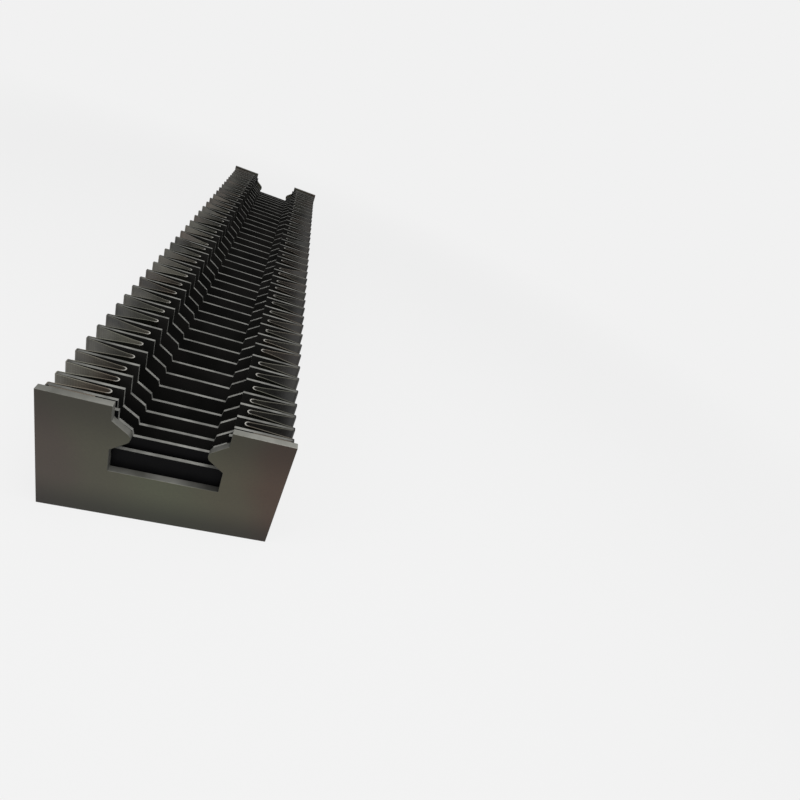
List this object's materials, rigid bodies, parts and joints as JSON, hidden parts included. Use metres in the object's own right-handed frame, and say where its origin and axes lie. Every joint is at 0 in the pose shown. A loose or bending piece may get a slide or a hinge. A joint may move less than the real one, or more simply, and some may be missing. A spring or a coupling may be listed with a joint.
{
  "type": "bellows way cover",
  "caption": "Folded cloth bellows with thin U frames in its folds and a slotted plate at each end, which covers a profile rail and closes up along it.",
  "frame": {"origin": "under the middle of the cover, on the plane that its end plates rest on", "axes": "+X across the cover, +Y along it from the front plate to the rear plate, +Z from the roof up to the ends of the legs"},
  "size_m": [0.068, 0.3534, 0.041],
  "materials": {
    "plate": "satin anodised, dark olive grey",
    "frame": "die-cut black sheet, lighter grey cut edges",
    "cloth": "black coated cloth, satin"
  },
  "bodies": {
    "front_end": {"front_plate": "plate", "front_backing": "frame", "front_end_frame": "frame", "bellows_skin": "cloth"},
    "rear_end": {"rear_plate": "plate", "rear_backing": "frame", "rear_end_frame": "frame"},
    "frame_01": {"frame_01": "frame"},
    "frame_02": {"frame_02": "frame"},
    "frame_03": {"frame_03": "frame"},
    "frame_04": {"frame_04": "frame"},
    "frame_05": {"frame_05": "frame"},
    "frame_06": {"frame_06": "frame"},
    "frame_07": {"frame_07": "frame"},
    "frame_08": {"frame_08": "frame"},
    "frame_09": {"frame_09": "frame"},
    "frame_10": {"frame_10": "frame"},
    "frame_11": {"frame_11": "frame"},
    "frame_12": {"frame_12": "frame"},
    "frame_13": {"frame_13": "frame"},
    "frame_14": {"frame_14": "frame"},
    "frame_15": {"frame_15": "frame"},
    "frame_16": {"frame_16": "frame"},
    "frame_17": {"frame_17": "frame"},
    "frame_18": {"frame_18": "frame"},
    "frame_19": {"frame_19": "frame"},
    "frame_20": {"frame_20": "frame"},
    "frame_21": {"frame_21": "frame"},
    "frame_22": {"frame_22": "frame"},
    "frame_23": {"frame_23": "frame"},
    "frame_24": {"frame_24": "frame"},
    "frame_25": {"frame_25": "frame"},
    "frame_26": {"frame_26": "frame"},
    "frame_27": {"frame_27": "frame"},
    "frame_28": {"frame_28": "frame"},
    "frame_29": {"frame_29": "frame"},
    "frame_30": {"frame_30": "frame"},
    "frame_31": {"frame_31": "frame"},
    "frame_32": {"frame_32": "frame"},
    "frame_33": {"frame_33": "frame"},
    "frame_34": {"frame_34": "frame"},
    "frame_35": {"frame_35": "frame"},
    "frame_36": {"frame_36": "frame"}
  },
  "joints": [
    {"name": "bellows_slide", "type": "slide", "parent": "front_end", "child": "rear_end", "axis": [0, 1, 0], "range_m": [-0.255, 0.09], "deforming": ["bellows_skin"]},
    {"name": "slide_01", "type": "slide", "parent": "front_end", "child": "frame_01", "axis": [0, 1, 0], "range_m": [-0.00377, 0.00165]},
    {"name": "slide_02", "type": "slide", "parent": "front_end", "child": "frame_02", "axis": [0, 1, 0], "range_m": [-0.00812, 0.00319]},
    {"name": "slide_03", "type": "slide", "parent": "front_end", "child": "frame_03", "axis": [0, 1, 0], "range_m": [-0.01233, 0.00468]},
    {"name": "slide_04", "type": "slide", "parent": "front_end", "child": "frame_04", "axis": [0, 1, 0], "range_m": [-0.01821, 0.00675]},
    {"name": "slide_05", "type": "slide", "parent": "front_end", "child": "frame_05", "axis": [0, 1, 0], "range_m": [-0.02432, 0.00891]},
    {"name": "slide_06", "type": "slide", "parent": "front_end", "child": "frame_06", "axis": [0, 1, 0], "range_m": [-0.03038, 0.01104]},
    {"name": "slide_07", "type": "slide", "parent": "front_end", "child": "frame_07", "axis": [0, 1, 0], "range_m": [-0.03735, 0.0135]},
    {"name": "slide_08", "type": "slide", "parent": "front_end", "child": "frame_08", "axis": [0, 1, 0], "range_m": [-0.04348, 0.01567]},
    {"name": "slide_09", "type": "slide", "parent": "front_end", "child": "frame_09", "axis": [0, 1, 0], "range_m": [-0.05038, 0.01811]},
    {"name": "slide_10", "type": "slide", "parent": "front_end", "child": "frame_10", "axis": [0, 1, 0], "range_m": [-0.05739, 0.02058]},
    {"name": "slide_11", "type": "slide", "parent": "front_end", "child": "frame_11", "axis": [0, 1, 0], "range_m": [-0.0638, 0.02284]},
    {"name": "slide_12", "type": "slide", "parent": "front_end", "child": "frame_12", "axis": [0, 1, 0], "range_m": [-0.07126, 0.02547]},
    {"name": "slide_13", "type": "slide", "parent": "front_end", "child": "frame_13", "axis": [0, 1, 0], "range_m": [-0.07804, 0.02787]},
    {"name": "slide_14", "type": "slide", "parent": "front_end", "child": "frame_14", "axis": [0, 1, 0], "range_m": [-0.08523, 0.0304]},
    {"name": "slide_15", "type": "slide", "parent": "front_end", "child": "frame_15", "axis": [0, 1, 0], "range_m": [-0.09322, 0.03322]},
    {"name": "slide_16", "type": "slide", "parent": "front_end", "child": "frame_16", "axis": [0, 1, 0], "range_m": [-0.10053, 0.0358]},
    {"name": "slide_17", "type": "slide", "parent": "front_end", "child": "frame_17", "axis": [0, 1, 0], "range_m": [-0.10895, 0.03878]},
    {"name": "slide_18", "type": "slide", "parent": "front_end", "child": "frame_18", "axis": [0, 1, 0], "range_m": [-0.11728, 0.04172]},
    {"name": "slide_19", "type": "slide", "parent": "front_end", "child": "frame_19", "axis": [0, 1, 0], "range_m": [-0.12541, 0.04459]},
    {"name": "slide_20", "type": "slide", "parent": "front_end", "child": "frame_20", "axis": [0, 1, 0], "range_m": [-0.13466, 0.04785]},
    {"name": "slide_21", "type": "slide", "parent": "front_end", "child": "frame_21", "axis": [0, 1, 0], "range_m": [-0.14319, 0.05086]},
    {"name": "slide_22", "type": "slide", "parent": "front_end", "child": "frame_22", "axis": [0, 1, 0], "range_m": [-0.15231, 0.05408]},
    {"name": "slide_23", "type": "slide", "parent": "front_end", "child": "frame_23", "axis": [0, 1, 0], "range_m": [-0.1618, 0.05743]},
    {"name": "slide_24", "type": "slide", "parent": "front_end", "child": "frame_24", "axis": [0, 1, 0], "range_m": [-0.17061, 0.06054]},
    {"name": "slide_25", "type": "slide", "parent": "front_end", "child": "frame_25", "axis": [0, 1, 0], "range_m": [-0.18052, 0.06404]},
    {"name": "slide_26", "type": "slide", "parent": "front_end", "child": "frame_26", "axis": [0, 1, 0], "range_m": [-0.18947, 0.0672]},
    {"name": "slide_27", "type": "slide", "parent": "front_end", "child": "frame_27", "axis": [0, 1, 0], "range_m": [-0.19802, 0.07021]},
    {"name": "slide_28", "type": "slide", "parent": "front_end", "child": "frame_28", "axis": [0, 1, 0], "range_m": [-0.20694, 0.07336]},
    {"name": "slide_29", "type": "slide", "parent": "front_end", "child": "frame_29", "axis": [0, 1, 0], "range_m": [-0.21453, 0.07604]},
    {"name": "slide_30", "type": "slide", "parent": "front_end", "child": "frame_30", "axis": [0, 1, 0], "range_m": [-0.22224, 0.07876]},
    {"name": "slide_31", "type": "slide", "parent": "front_end", "child": "frame_31", "axis": [0, 1, 0], "range_m": [-0.2292, 0.08122]},
    {"name": "slide_32", "type": "slide", "parent": "front_end", "child": "frame_32", "axis": [0, 1, 0], "range_m": [-0.23496, 0.08325]},
    {"name": "slide_33", "type": "slide", "parent": "front_end", "child": "frame_33", "axis": [0, 1, 0], "range_m": [-0.24105, 0.0854]},
    {"name": "slide_34", "type": "slide", "parent": "front_end", "child": "frame_34", "axis": [0, 1, 0], "range_m": [-0.24557, 0.087]},
    {"name": "slide_35", "type": "slide", "parent": "front_end", "child": "frame_35", "axis": [0, 1, 0], "range_m": [-0.24963, 0.08843]},
    {"name": "slide_36", "type": "slide", "parent": "front_end", "child": "frame_36", "axis": [0, 1, 0], "range_m": [-0.25339, 0.08975]}
  ],
  "couplings": [
    {"joint": "slide_01", "follows": "bellows_slide", "ratio": 0.01281},
    {"joint": "slide_02", "follows": "bellows_slide", "ratio": 0.02988},
    {"joint": "slide_03", "follows": "bellows_slide", "ratio": 0.0464},
    {"joint": "slide_04", "follows": "bellows_slide", "ratio": 0.06947},
    {"joint": "slide_05", "follows": "bellows_slide", "ratio": 0.09343},
    {"joint": "slide_06", "follows": "bellows_slide", "ratio": 0.11716},
    {"joint": "slide_07", "follows": "bellows_slide", "ratio": 0.1445},
    {"joint": "slide_08", "follows": "bellows_slide", "ratio": 0.16854},
    {"joint": "slide_09", "follows": "bellows_slide", "ratio": 0.19562},
    {"joint": "slide_10", "follows": "bellows_slide", "ratio": 0.22309},
    {"joint": "slide_11", "follows": "bellows_slide", "ratio": 0.24822},
    {"joint": "slide_12", "follows": "bellows_slide", "ratio": 0.27749},
    {"joint": "slide_13", "follows": "bellows_slide", "ratio": 0.30407},
    {"joint": "slide_14", "follows": "bellows_slide", "ratio": 0.33226},
    {"joint": "slide_15", "follows": "bellows_slide", "ratio": 0.36361},
    {"joint": "slide_16", "follows": "bellows_slide", "ratio": 0.39227},
    {"joint": "slide_17", "follows": "bellows_slide", "ratio": 0.42531},
    {"joint": "slide_18", "follows": "bellows_slide", "ratio": 0.45795},
    {"joint": "slide_19", "follows": "bellows_slide", "ratio": 0.48986},
    {"joint": "slide_20", "follows": "bellows_slide", "ratio": 0.52611},
    {"joint": "slide_21", "follows": "bellows_slide", "ratio": 0.55955},
    {"joint": "slide_22", "follows": "bellows_slide", "ratio": 0.59534},
    {"joint": "slide_23", "follows": "bellows_slide", "ratio": 0.63256},
    {"joint": "slide_24", "follows": "bellows_slide", "ratio": 0.66711},
    {"joint": "slide_25", "follows": "bellows_slide", "ratio": 0.70596},
    {"joint": "slide_26", "follows": "bellows_slide", "ratio": 0.74107},
    {"joint": "slide_27", "follows": "bellows_slide", "ratio": 0.7746},
    {"joint": "slide_28", "follows": "bellows_slide", "ratio": 0.80956},
    {"joint": "slide_29", "follows": "bellows_slide", "ratio": 0.83935},
    {"joint": "slide_30", "follows": "bellows_slide", "ratio": 0.86956},
    {"joint": "slide_31", "follows": "bellows_slide", "ratio": 0.89688},
    {"joint": "slide_32", "follows": "bellows_slide", "ratio": 0.91946},
    {"joint": "slide_33", "follows": "bellows_slide", "ratio": 0.94334},
    {"joint": "slide_34", "follows": "bellows_slide", "ratio": 0.96107},
    {"joint": "slide_35", "follows": "bellows_slide", "ratio": 0.97698},
    {"joint": "slide_36", "follows": "bellows_slide", "ratio": 0.99172}
  ]
}
